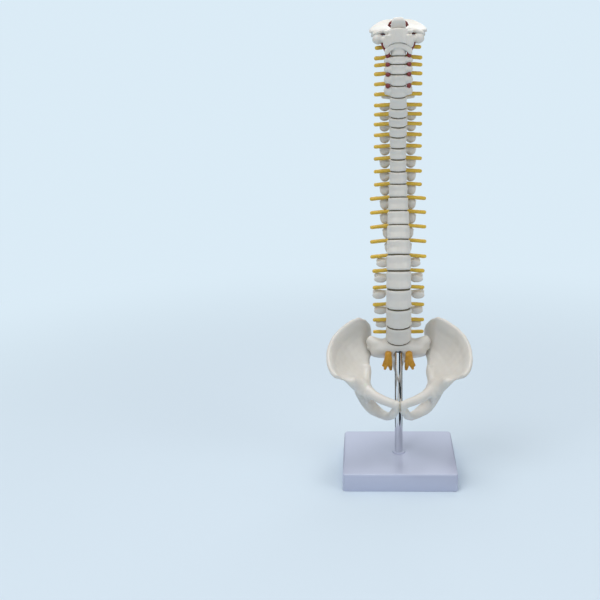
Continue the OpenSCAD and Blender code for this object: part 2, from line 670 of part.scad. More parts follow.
// Foot of the wing, from the lower front spine past the socket to the lower rear spine
WING_FOOT = [
    [44, -40, -33], [40, -27, -39], [34.5, -13, -40], [31, -1, -35],
    [side_x + 2.2, 11, -27], [side_x + 1.4, 25, -20]
];
wing_hollow = 6;
WING_T = [
    [0, 11], [0.14, 9], [0.32, wing_t + 1.6], [0.55, wing_t], [0.75, wing_t + 0.4],
    [0.9, crest_t], [1, 0.7 * crest_t]
];

function wing_point(u, v) =
    mix(curve(WING_FOOT, u), curve(CREST, u), v)
    + wing_hollow * sin(180 * v) * pow(sin(180 * u), 2) * unit([0.55, 0.8, -0.2]);
function wing_out(u, v) = unit(cross(
    wing_point(min(1, u + 0.01), v) - wing_point(max(0, u - 0.01), v),
    wing_point(u, min(1, v + 0.01)) - wing_point(u, max(0, v - 0.01))
));

function wing_skin(u, v, side) = wing_point(u, v) + side * lookup(v, WING_T) * wing_out(u, v);

module iliac_wing(columns = 14, rows = 8) {
    loft([
        for (k = [0 : columns])
            let (u = k / columns)
            concat(
                [for (i = [0 : rows]) wing_skin(u, i / rows, -0.5)],
                [for (i = [rows : -1 : 0]) wing_skin(u, i / rows, 0.5)]
            )
    ], flat_ends = false);
}

SOCKET = [39.5, -21, -47.4];
SOCKET_AXIS = [0.87, -0.3, -0.4];

module hip_bone() {
    color(bone_colour) difference() {
        union() {
            iliac_wing();
            // Brim of the pelvis, from the sacrum's side round to the pubic joint
            limb(
                [[side_x + 3, 8, -25], [31, -6, -34], [32.5, -18, -40], [31, -28, -44.5], [24, -36, -48],
                    [14, -43, -50.5], [0, -47.5, -52]],
                [[4, 5], [4, 5], [4.6, 5.4], [4.8, 5], [3.6, 3.6], [3.2, 3.4], [3.6, 4.8]],
                14, 8, [0, 0, 1]
            );
            // Seat bone and the thin branch that rises to the pubic joint
            limb(
                [[37, -12, -48], [35, -6, -56], [31, -3.5, -65], [25, -5, -72], [18, -12, -73],
                    [12, -25, -70.5], [7, -38, -64.5], [1, -46, -56]],
                [[7.5, 8], [6.5, 7.5], [6.5, 7], [6, 6.4], [3.6, 4.6], [2.6, 3.6], [2.6, 3.6], [3.4, 4.6]],
                16, 8, [1, 0, 0]
            );
            // Columns behind and before the socket
            limb([[30.5, 1, -27], [33, -3, -38], [36, -8, -50]], [[5, 6], [5, 7], [7, 8]], 4, 8);
            limb(
                [[45, -39.6, -27.5], [42, -32, -38], [36, -25, -48]], [[4, 4.4], [6, 6.4], [7, 8]],
                4, 8, [1, 0, 0]
            );
            club([33, -1, -46], [24.6, 12, -50], 3.4, 1.5);
            // Cup of the socket
            translate(SOCKET) difference() {
                sphere(r = socket_r + socket_wall);
                aim([0, 0, 0], SOCKET_AXIS) cylinder(r = 2 * socket_r, h = 2 * socket_r);
            }
        }
        translate(SOCKET) {
            sphere(r = socket_r);
            aim([0, 0, 0], SOCKET_AXIS) cylinder(r = socket_r, h = 2 * socket_r);
        }
        translate([0, 1, 0]) between_hips();
        translate([-20, -70, -90]) cube([20 + pubic_gap / 2, 60, 60]);
    }
}

module hip_bone_left() {
    translate(PELVIS) hip_bone();
}

module hip_bone_right() {
    translate(PELVIS) mirror([1, 0, 0]) hip_bone();
}

// Cushion between the pubic bones
module pubic_disc() {
    color(cartilage_colour) translate(PELVIS - [pubic_gap / 2, 0, 0]) rotate([90, 0, 90])
        linear_extrude(pubic_gap) polygon([
            [-49.6, -49.4], [-47.6, -48.2], [-45, -48.8], [-43.6, -51], [-43.4, -56], [-44.4, -59.2],
            [-46.6, -59.6], [-48.8, -57.6], [-50.2, -53]
        ]);
}

// Stand

boss_top = base_h + boss_rise;
boss_r = rod_d / 2 + 2.6;
rib_t = 2;
// Height of the table side of the hub's roof, which the washer bears on
seat_z = base_h - base_wall - 2;
washer_t = 1.2;
washer_r = nut_af / 2 + 3;
nut_h = 0.8 * stud_d;
nut_z = seat_z - washer_t - nut_h;
stud_end = 1;
hub_r = washer_r + 2;
edge_round = 1.2;
corner = base_w / 2 - base_corner;
inner_w = base_w - 2 * base_wall;

module base_plate() {
    color(base_colour) difference() {
        union() {
            difference() {
                hull() {
                    for (x = [-1, 1], y = [-1, 1]) translate([x * corner, y * corner, 0]) {
                        cylinder(r = base_corner, h = base_h - edge_round, $fn = 32);
                        cylinder(r = base_corner - edge_round, h = base_h, $fn = 32);
                    }
                }
                translate([0, 0, (base_h - base_wall) / 2 - 1])
                    cube([inner_w, inner_w, base_h - base_wall + 2], center = true);
            }
            // Cross of ribs and hub
            translate([0, 0, base_h / 2 + 1]) {
                cube([base_w - base_wall, rib_t, base_h - 2 - base_wall], center = true);
                cube([rib_t, base_w - base_wall, base_h - 2 - base_wall], center = true);
            }
            cylinder(r = hub_r, h = base_h - base_wall / 2);
            cylinder(r = boss_r, h = boss_top);
        }
        cylinder(d = stud_d + 2 * slip, h = 2 * base_h);
        translate([0, 0, -1]) cylinder(r = washer_r + 2 * slip, h = seat_z + 1);
    }
}

module support_rod() {
    color(steel_colour) {
        translate([0, 0, boss_top]) cylinder(d = rod_d, h = rod_top - boss_top);
        translate([0, 0, nut_z - stud_end]) cylinder(d = stud_d, h = boss_top - nut_z + 2 * stud_end);
    }
}

module rod_washer() {
    color(steel_colour) translate([0, 0, seat_z - washer_t]) difference() {
        cylinder(r = washer_r, h = washer_t);
        translate([0, 0, -1]) cylinder(d = stud_d + 2 * slip, h = washer_t + 2);
    }
}

module rod_nut() {
    color(steel_colour) translate([0, 0, nut_z]) difference() {
        cylinder(d = nut_af / cos(30), h = nut_h, $fn = 6);
        translate([0, 0, -1]) cylinder(d = stud_d + 2 * slip, h = nut_h + 2);
    }
}

base_plate();
support_rod();
rod_washer();
rod_nut();
sacrum();
hip_bone_left();
hip_bone_right();
pubic_disc();
spine_wire();
spinal_cord();
sacral_nerves();
vertebral_arteries();
for (j = [0 : C2 - 1]) {
    vertebra(j);
}
axis_c2();
atlas_c1();
occipital_bone();
for (j = [0 : C2]) {
    disc(j);
}
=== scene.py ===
"""Half-size spine model on its stand: moulded bones, yellow nerve roots, red arteries, chrome rod."""

import math

import bmesh
import bpy
import numpy as np
from bpy.props import FloatProperty, FloatVectorProperty, IntProperty, PointerProperty
from mathutils import Matrix, Vector, noise


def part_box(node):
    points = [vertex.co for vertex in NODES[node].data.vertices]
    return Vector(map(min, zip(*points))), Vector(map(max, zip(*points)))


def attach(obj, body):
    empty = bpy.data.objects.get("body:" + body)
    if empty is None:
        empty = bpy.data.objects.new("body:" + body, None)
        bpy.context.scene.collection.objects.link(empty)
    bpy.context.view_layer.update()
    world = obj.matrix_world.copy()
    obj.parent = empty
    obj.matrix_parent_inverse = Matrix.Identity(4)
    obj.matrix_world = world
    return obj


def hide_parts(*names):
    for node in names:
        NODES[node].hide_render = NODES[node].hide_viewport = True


bl_info = {
    "name": "Spine model",
    "version": (1, 0, 0),
    "blender": (4, 5, 0),
    "location": "View3D > Sidebar > Spine model",
    "description": "Builds a half-size spine with pelvis on a square stand",
    "category": "Add Mesh",
}

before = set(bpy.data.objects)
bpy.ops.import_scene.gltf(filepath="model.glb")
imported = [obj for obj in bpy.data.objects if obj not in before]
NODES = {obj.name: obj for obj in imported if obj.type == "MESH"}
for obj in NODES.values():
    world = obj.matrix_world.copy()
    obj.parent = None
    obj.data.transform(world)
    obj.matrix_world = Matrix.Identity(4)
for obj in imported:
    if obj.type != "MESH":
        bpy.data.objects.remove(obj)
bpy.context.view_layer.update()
# Upright frames of the pelvis, in the lowest disc, and of the head, in the highest
PELVIS = Matrix.Translation((0, 0.001, 0.1374))
HEAD = Matrix.Translation((0, -0.0088, 0.4114))

MM = 0.001
LUMBAR = ["l5", "l4", "l3", "l2", "l1"]
THORACIC = ["t12", "t11", "t10", "t9", "t8", "t7", "t6", "t5", "t4", "t3", "t2", "t1"]
CERVICAL = ["c7", "c6", "c5", "c4", "c3"]
CHAIN = ["s1"] + LUMBAR + THORACIC + CERVICAL + ["c2"]
DISCS = sorted(name for name in NODES if name.startswith("disc_"))


class BoneSettings(bpy.types.PropertyGroup):
    """Sizes and colours of the moulded bones."""
    colour: FloatVectorProperty(
        name="Bone colour", description="Colour of the moulded bones", subtype="COLOR",
        size=4, min=0, max=1, default=(0.71, 0.685, 0.635, 1))
    # Painted shade: the colour the bones darken to in their hollows and corners, where shade falls.
    painted_shade_colour: FloatVectorProperty(
        name="Painted hollow shade colour", description="Colour that gathers in hollows and corners", subtype="COLOR",
        size=4, min=0, max=1, default=(0.42, 0.36, 0.27, 1))
    roughness: FloatProperty(
        name="Roughness", description="Roughness of the moulded surface", min=0, max=1, default=0.38)
    grain: FloatProperty(
        name="Grain", description="Grid on which small bones are cast", unit="LENGTH", subtype="DISTANCE",
        min=0.0003, max=0.001, default=0.00055)
    pelvis_grain: FloatProperty(
        name="Pelvis grain", description="Grid on which the hip bones and the sacrum are cast",
        unit="LENGTH", subtype="DISTANCE", min=0.0005, max=0.0015, default=0.0008)
    softness: IntProperty(
        name="Softness", description="Passes of smoothing over each cast bone", min=1, max=60, default=12)
    lumps: FloatProperty(
        name="Lumps", description="Height of the low lumps of the moulding", unit="LENGTH",
        subtype="DISTANCE", min=0, max=0.001, default=0.00018)
    regain: FloatProperty(
        name="Regain", description="Growth that gives back what the smoothing took", unit="LENGTH",
        subtype="DISTANCE", min=0, max=0.001, default=0.00022)


class NerveSettings(bpy.types.PropertyGroup):
    """Sizes and colours of the nerves, arteries and discs."""
    colour: FloatVectorProperty(
        name="Nerve colour", description="Colour of the nerve roots", subtype="COLOR",
        size=4, min=0, max=1, default=(0.74, 0.49, 0.045, 1))
    sacral_colour: FloatVectorProperty(
        name="Sacral nerve colour", description="Colour of the nerves below the sacrum", subtype="COLOR",
        size=4, min=0, max=1, default=(0.60, 0.30, 0.02, 1))
    artery_colour: FloatVectorProperty(
        name="Artery colour", description="Colour of the vertebral arteries", subtype="COLOR",
        size=4, min=0, max=1, default=(0.21, 0.014, 0.011, 1))
    # Painted shade: the discs' own beige is darkened to near black, for the shade that falls in the gaps between the
    # bodies.
    disc_painted_shade_colour: FloatVectorProperty(
        name="Disc painted shade colour", description="Colour of the soft discs", subtype="COLOR",
        size=4, min=0, max=1, default=(0.10, 0.08, 0.04, 1))
    regain: FloatProperty(
        name="Regain", description="Growth that gives back what the smoothing took", unit="LENGTH",
        subtype="DISTANCE", min=0, max=0.001, default=0.0004)
    cushion_colour: FloatVectorProperty(
        name="Cushion colour", description="Colour of the pubic cushion", subtype="COLOR",
        size=4, min=0, max=1, default=(0.60, 0.55, 0.45, 1))


class StandSettings(bpy.types.PropertyGroup):
    """Sizes and colours of the stand."""
    base_colour: FloatVectorProperty(
        name="Base colour", description="Colour of the base plate", subtype="COLOR",
        size=4, min=0, max=1, default=(0.53, 0.565, 0.715, 1))
    wall: FloatProperty(
        name="Wall", description="Wall of the hollow base plate", unit="LENGTH", subtype="DISTANCE",
        min=0.001, max=0.004, default=0.0024)
    corner: FloatProperty(
        name="Corner radius", description="Radius of the upright corners", unit="LENGTH",
        subtype="DISTANCE", min=0.001, max=0.01, default=0.004)
    edge: FloatProperty(
        name="Edge radius", description="Radius of the top edges", unit="LENGTH", subtype="DISTANCE",
        min=0.0005, max=0.004, default=0.0016)
    rod_colour: FloatVectorProperty(
        name="Rod colour", description="Colour of the plated rod", subtype="COLOR",
        size=4, min=0, max=1, default=(0.80, 0.81, 0.83, 1))


class StageSettings(bpy.types.PropertyGroup):
    """Floor, backdrop, lamps and camera."""
    floor_colour: FloatVectorProperty(
        name="Floor colour", description="Colour of the floor", subtype="COLOR",
        size=4, min=0, max=1, default=(0.68, 0.79, 0.88, 1))
    backdrop_colour: FloatVectorProperty(
        name="Backdrop colour", description="Colour behind the model", subtype="COLOR",
        size=4, min=0, max=1, default=(0.71, 0.835, 0.925, 1))
    fade_start: FloatProperty(
        name="Fade start", description="Distance at which the floor begins to fade into the backdrop",
        unit="LENGTH", subtype="DISTANCE", min=0.1, max=2, default=0.22)
    fade_end: FloatProperty(
        name="Fade end", description="Distance at which the floor has faded into the backdrop",
        unit="LENGTH", subtype="DISTANCE", min=0.3, max=5, default=0.9)
    key_power: FloatProperty(
        name="Key lamp", description="Power of the large lamp", unit="POWER", min=0, max=200, default=10)
    fill_power: FloatProperty(
        name="Fill lamp", description="Power of the second lamp", unit="POWER", min=0, max=200, default=3.5)
    lens: FloatProperty(
        name="Lens", description="Focal length of the camera", unit="CAMERA", min=20, max=200, default=66)


def rgba(colour):
    return tuple(colour)


# Shader groups and materials

def group_with(name, inputs, outputs):
    group = bpy.data.node_groups.new(name, "ShaderNodeTree")
    for socket, kind, value in inputs:
        item = group.interface.new_socket(name=socket, in_out="INPUT", socket_type=kind)
        item.default_value = value
    for socket, kind in outputs:
        group.interface.new_socket(name=socket, in_out="OUTPUT", socket_type=kind)
    return group, group.nodes.new("NodeGroupInput"), group.nodes.new("NodeGroupOutput")


def mottle_group():
    """Slow change of tone over a moulded surface, painted shade that darkens its hollows towards the dark colour, and
    a fine grain for its height.
    """
    group = bpy.data.node_groups.get("Mottle")
    if group:
        return group
    group, into, out = group_with("Mottle", [
        ("Colour", "NodeSocketColor", (0.8, 0.8, 0.8, 1)),
        ("Patch and painted shade colour", "NodeSocketColor", (0.5, 0.5, 0.5, 1)),
        ("Patch scale", "NodeSocketFloat", 60.0),
        ("Patch amount", "NodeSocketFloat", 0.2),
        ("Painted shade amount", "NodeSocketFloat", 0.6),
        ("Grain scale", "NodeSocketFloat", 900.0),
        ("Roughness", "NodeSocketFloat", 0.4),
        ("Roughness spread", "NodeSocketFloat", 0.12),
    ], [("Colour", "NodeSocketColor"), ("Roughness", "NodeSocketFloat"), ("Height", "NodeSocketFloat")])
    nodes, links = group.nodes, group.links
    place = nodes.new("ShaderNodeTexCoord")
    patches = nodes.new("ShaderNodeTexNoise")
    patches.inputs["Detail"].default_value = 5
    patches.inputs["Roughness"].default_value = 0.6
    links.new(place.outputs["Object"], patches.inputs["Vector"])
    links.new(into.outputs["Patch scale"], patches.inputs["Scale"])
    grain = nodes.new("ShaderNodeTexNoise")
    grain.inputs["Detail"].default_value = 3
    links.new(place.outputs["Object"], grain.inputs["Vector"])
    links.new(into.outputs["Grain scale"], grain.inputs["Scale"])
    spread = nodes.new("ShaderNodeMapRange")
    spread.inputs["From Min"].default_value = 0.35
    spread.inputs["From Max"].default_value = 0.75
    links.new(patches.outputs["Fac"], spread.inputs["Value"])
    patch_mask = nodes.new("ShaderNodeMath")
    patch_mask.operation = "MULTIPLY"
    links.new(spread.outputs["Result"], patch_mask.inputs[0])
    links.new(into.outputs["Patch amount"], patch_mask.inputs[1])
    # Painted shade: where the attribute hollow marks a hollow, the colour darkens towards the dark colour, as shade
    # would fall there.
    hollow = nodes.new("ShaderNodeAttribute")
    hollow.attribute_name = "hollow"
    painted_shade_mask = nodes.new("ShaderNodeMath")
    painted_shade_mask.operation = "MULTIPLY"
    links.new(hollow.outputs["Fac"], painted_shade_mask.inputs[0])
    links.new(into.outputs["Painted shade amount"], painted_shade_mask.inputs[1])
    total = nodes.new("ShaderNodeMath")
    total.operation = "ADD"
    total.use_clamp = True
    links.new(patch_mask.outputs[0], total.inputs[0])
    links.new(painted_shade_mask.outputs[0], total.inputs[1])
    blend = nodes.new("ShaderNodeMix")
    blend.data_type = "RGBA"
    links.new(total.outputs[0], blend.inputs["Factor"])
    links.new(into.outputs["Colour"], blend.inputs["A"])
    links.new(into.outputs["Patch and painted shade colour"], blend.inputs["B"])
    rough = nodes.new("ShaderNodeMath")
    rough.operation = "MULTIPLY_ADD"
    links.new(patches.outputs["Fac"], rough.inputs[0])
    links.new(into.outputs["Roughness spread"], rough.inputs[1])
    links.new(into.outputs["Roughness"], rough.inputs[2])
    links.new(blend.outputs["Result"], out.inputs["Colour"])
    links.new(rough.outputs[0], out.inputs["Roughness"])
    links.new(grain.outputs["Fac"], out.inputs["Height"])
    return group


def plastic(name, colour, dark, patch_scale=60, patch=0.2, hollow=0.6, grain=900, height=0.00002,
            roughness=0.38, spread=0.12, coat=0.0, soft=0.0):
    """Moulded plastic: one group for tone, painted shade in hollows and grain, with its own values."""
    material = bpy.data.materials.get(name)
    if material:
        return material
    material = bpy.data.materials.new(name)
    material.use_nodes = True
    nodes, links = material.node_tree.nodes, material.node_tree.links
    shader = nodes["Principled BSDF"]
    tone = nodes.new("ShaderNodeGroup")
    tone.node_tree = mottle_group()
    for socket, value in (
            ("Colour", colour), ("Patch and painted shade colour", dark), ("Patch scale", patch_scale),
            ("Patch amount", patch), ("Painted shade amount", hollow), ("Grain scale", grain),
            ("Roughness", roughness - 0.5 * spread), ("Roughness spread", spread)):
        tone.inputs[socket].default_value = value
    bump = nodes.new("ShaderNodeBump")
    bump.inputs["Distance"].default_value = height
    links.new(tone.outputs["Height"], bump.inputs["Height"])
    links.new(tone.outputs["Colour"], shader.inputs["Base Color"])
    links.new(tone.outputs["Roughness"], shader.inputs["Roughness"])
    links.new(bump.outputs["Normal"], shader.inputs["Normal"])
    shader.inputs["Coat Weight"].default_value = coat
    shader.inputs["Coat Roughness"].default_value = 0.2
    if soft:
        shader.inputs["Subsurface Weight"].default_value = soft
        shader.inputs["Subsurface Radius"].default_value = (0.003, 0.002, 0.0012)
        shader.inputs["Subsurface Scale"].default_value = 1
    return material


def metal(name, colour, roughness, scratch=0.05):
    """Plated or bare metal with faint wear in its roughness."""
    material = bpy.data.materials.get(name)
    if material:
        return material
    material = bpy.data.materials.new(name)
    material.use_nodes = True
    nodes, links = material.node_tree.nodes, material.node_tree.links
    shader = nodes["Principled BSDF"]
    tone = nodes.new("ShaderNodeGroup")
    tone.node_tree = mottle_group()
    for socket, value in (
            ("Colour", colour), ("Patch and painted shade colour", tuple(0.8 * c for c in colour[:3]) + (1,)),
            ("Patch scale", 180), ("Patch amount", 0.25), ("Painted shade amount", 0),
            ("Grain scale", 1500), ("Roughness", roughness), ("Roughness spread", scratch)):
        tone.inputs[socket].default_value = value
    links.new(tone.outputs["Colour"], shader.inputs["Base Color"])
    links.new(tone.outputs["Roughness"], shader.inputs["Roughness"])
    shader.inputs["Metallic"].default_value = 1
    return material


def bone_material():
    look = bpy.context.scene.spine_bones
    # Painted shade: hollow=0.75 darkens the bones' hollows towards the painted shade colour.
    return plastic("Moulded bone", rgba(look.colour), rgba(look.painted_shade_colour), patch_scale=45, patch=0.12,
                   hollow=0.75, grain=700, height=0.00003, roughness=look.roughness, spread=0.16, soft=0.12)


def painted_shade_disc_material():
    # Painted shade: near-black colour for the shade between the vertebral bodies.
    tint = rgba(bpy.context.scene.spine_nerves.disc_painted_shade_colour)
    return plastic("Soft disc", tint, (0.08, 0.06, 0.03, 1), patch_scale=160, patch=0.6, hollow=0,
                   grain=1400, height=0.00003, roughness=0.5)


# Meshes

def clean_copy(node, bm=None):
    """Adds a merged copy of a CAD node's mesh to bm."""
    bm = bm or bmesh.new()
    single = bmesh.new()
    single.from_mesh(NODES[node].data)
    bmesh.ops.remove_doubles(single, verts=single.verts, dist=2e-6)
    mesh = bpy.data.meshes.new("copy")
    single.to_mesh(mesh)
    single.free()
    bm.from_mesh(mesh)
    bpy.data.meshes.remove(mesh)
    return bm


def centre(node):
    low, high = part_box(node)
    return 0.5 * (low + high)


def seat(bone):
    """Place of a vertebra, with Z towards the disc above it, and its width, depth and height."""
    at = CHAIN.index(bone)
    lower = "disc_" + bone + "_" + CHAIN[at - 1]
    below = centre(lower)
    above = centre("disc_" + CHAIN[at + 1] + "_" + bone)
    up = (above - below).normalized()
    back = up.cross(Vector((1, 0, 0)))
    low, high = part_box(lower)
    wide, depth = high.x - low.x + 0.0012, high.y - low.y + 0.0012
    turn = Matrix((Vector((1, 0, 0)), back, up)).transposed().to_4x4()
    place = Matrix.Translation(0.5 * (above + below) + 0.08 * depth * back) @ turn
    return place, wide / MM, depth / MM, (above - below).length / MM


def blob(bm, middle, half, turn=(0, 0, 0), place=Matrix.Identity(4), detail=3):
    """Adds an egg of the given half sizes, in millimetres."""
    matrix = (place @ Matrix.Translation(Vector(middle) * MM)
              @ Matrix.Rotation(math.radians(turn[2]), 4, "Z")
              @ Matrix.Rotation(math.radians(turn[1]), 4, "Y")
              @ Matrix.Rotation(math.radians(turn[0]), 4, "X")
              @ Matrix.Diagonal((half[0] * MM, half[1] * MM, half[2] * MM, 1)))
    bmesh.ops.create_icosphere(bm, subdivisions=detail, radius=1, matrix=matrix)


def slab(bm, middle, size, turn=(0, 0, 0), place=Matrix.Identity(4)):
    """Adds a block of the given size, in millimetres."""
    bmesh.ops.create_cube(bm, size=1, matrix=(
        place @ Matrix.Translation(Vector(middle) * MM)
        @ Matrix.Rotation(math.radians(turn[0]), 4, "X")
        @ Matrix.Diagonal((size[0] * MM, size[1] * MM, size[2] * MM, 1))))


def drum(bm, size, place):
    """Adds an oval drum of the given size, in millimetres."""
    bmesh.ops.create_cone(
        bm, cap_ends=True, segments=48, radius1=0.5, radius2=0.5, depth=1,
        matrix=place @ Matrix.Diagonal((size[0] * MM, size[1] * MM, size[2] * MM, 1)))


def pair(maker, bm, middle, *rest, **more):
    """Adds a form on both sides of the plane X = 0."""
    for side in (-1, 1):
        maker(bm, (side * middle[0], middle[1], middle[2]), *rest, **more)


def swept(bm, points, radii, side=1, place=Matrix.Identity(4), sides=16):
    """Adds a round bar along points, drawn from a circle that is extruded from station to station."""
    points = [place @ (Vector((side * p[0], p[1], p[2])) * MM) for p in points]
    radii = [r * MM for r in radii]
    along = [(points[min(i + 1, len(points) - 1)] - points[max(i - 1, 0)]).normalized()
             for i in range(len(points))]
    aim = along[0].to_track_quat("Z", "Y")
    start = bmesh.ops.create_circle(
        bm, cap_ends=True, segments=sides, radius=radii[0],
        matrix=Matrix.Translation(points[0]) @ aim.to_matrix().to_4x4())
    ring = start["verts"]
    face = ring[0].link_faces[0]
    edges = list(face.edges)
    if face.normal.dot(along[0]) > 0:
        face.normal_flip()
    for i in range(1, len(points)):
        grown = bmesh.ops.extrude_edge_only(bm, edges=edges)["geom"]
        ring = [g for g in grown if isinstance(g, bmesh.types.BMVert)]
        edges = [g for g in grown if isinstance(g, bmesh.types.BMEdge)
                 and all(v in ring for v in g.verts)]
        turn = along[i - 1].rotation_difference(along[i]).to_matrix().to_4x4()
        size = radii[i] / radii[i - 1]
        bmesh.ops.transform(
            bm, verts=ring, matrix=Matrix.Translation(points[i]) @ turn
            @ Matrix.Scale(size, 4) @ Matrix.Translation(-points[i - 1]))
    bmesh.ops.contextual_create(bm, geom=edges)


def object_from(bm, name):
    mesh = bpy.data.meshes.new(name)
    bm.to_mesh(mesh)
    bm.free()
    obj = bpy.data.objects.new(name, mesh)
    bpy.context.scene.collection.objects.link(obj)
    return obj


def apply_modifiers(obj):
    bpy.context.view_layer.update()
    shaped = bpy.data.meshes.new_from_object(obj.evaluated_get(bpy.context.evaluated_depsgraph_get()))
    obj.modifiers.clear()
    old = obj.data
    obj.data = shaped
    bpy.data.meshes.remove(old)


def shade_smooth(obj):
    obj.data.polygons.foreach_set("use_smooth", [True] * len(obj.data.polygons))


def cast(obj, grain, softness, strength=0.5):
    """Turns joined forms into one smooth skin, as a mould does."""
    skin = obj.modifiers.new("Skin", "REMESH")
    skin.mode = "VOXEL"
    skin.voxel_size = grain
    skin.adaptivity = 0
    soft = obj.modifiers.new("Soften", "SMOOTH")
    soft.factor = strength
    soft.iterations = softness
    apply_modifiers(obj)
    shade_smooth(obj)


def mark_hollows(obj, rounds=3, gain=2.2):
    """Stores how deep each point lies among its neighbours, from 0 to 1, as the attribute hollow, by which the
    materials paint shade into hollows.
    """
    mesh = obj.data
    count = len(mesh.vertices)
    place = read_points(mesh, "co")
    normal = read_points(mesh, "normal")
    edges = np.empty(len(mesh.edges) * 2, np.int64)
    mesh.edges.foreach_get("vertices", edges)
    a, b = edges.reshape(-1, 2).T
    degree = np.bincount(np.concatenate([a, b]), minlength=count).clip(1)

    def spread(values):
        total = np.zeros_like(values)
        np.add.at(total, a, values[b])
        np.add.at(total, b, values[a])
        return total / (degree if values.ndim == 1 else degree[:, None])

    wide = place
    for _ in range(rounds):
        wide = 0.5 * (wide + spread(wide))
    size = np.linalg.norm(place[a] - place[b], axis=1).mean()
    depth = ((wide - place) * normal).sum(axis=1) / size
    for _ in range(4):
        depth = 0.5 * (depth + spread(depth))
    depth = (gain * depth).clip(0, 1)
    mesh.attributes.new("hollow", "FLOAT", "POINT").data.foreach_set("value", depth.astype(np.float32))


def read_points(mesh, what):
    values = np.empty(len(mesh.vertices) * 3)
    mesh.vertices.foreach_get(what, values)
    return values.reshape(-1, 3)


def lump(obj, height, wave=0.006, regain=0.0):
    """Moves the skin in and out by low, slow lumps, and out by what the smoothing took."""
    mesh = obj.data
    place = read_points(mesh, "co")
    rise = np.array([noise.noise(Vector(p)) for p in place / wave])
    place += (regain + height * rise[:, None]) * read_points(mesh, "normal")
    mesh.vertices.foreach_set("co", place.ravel())
    mesh.update()


def melt(obj, places, radius, rounds=40):
    """Smooths a cast bone further round the given places, in millimetres of the pelvis's frame."""
    bm = bmesh.new()
    bm.from_mesh(obj.data)
    spots = [PELVIS @ (Vector(p) * MM) for p in places]
    near = [v for v in bm.verts if any((v.co - spot).length < radius * MM for spot in spots)]
    for _ in range(rounds):
        bmesh.ops.smooth_vert(bm, verts=near, factor=0.5, use_axis_x=True, use_axis_y=True, use_axis_z=True)
    bm.to_mesh(obj.data)
    bm.free()


def droop(obj, start, bend):
    """Lowers what reaches sideways beyond start, ever more towards the tips."""
    points = read_points(obj.data, "co")
    reach = np.maximum(np.abs(points[:, 0]) - start, 0)
    points[:, 2] -= bend * reach ** 2
    obj.data.vertices.foreach_set("co", points.ravel())
    obj.data.update()


def finish(obj, material, slot, *nodes):
    obj.data.materials.clear()
    obj.data.materials.append(material)
    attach(obj, "root")
    if nodes:
        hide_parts(*nodes)
    return obj


def cast_bone(name, node, grain, softness, extras=None, melted=None):
    """Casts a bone from its solid and the forms that extras adds to it."""
    look = bpy.context.scene.spine_bones
    bm = clean_copy(node)
    if extras:
        extras(bm)
    bone = object_from(bm, name)
    cast(bone, grain, softness)
    if melted:
        melt(bone, *melted)
    lump(bone, look.lumps, regain=look.regain)
    mark_hollows(bone)
    return finish(bone, bone_material(), "bone", node)


# Operators

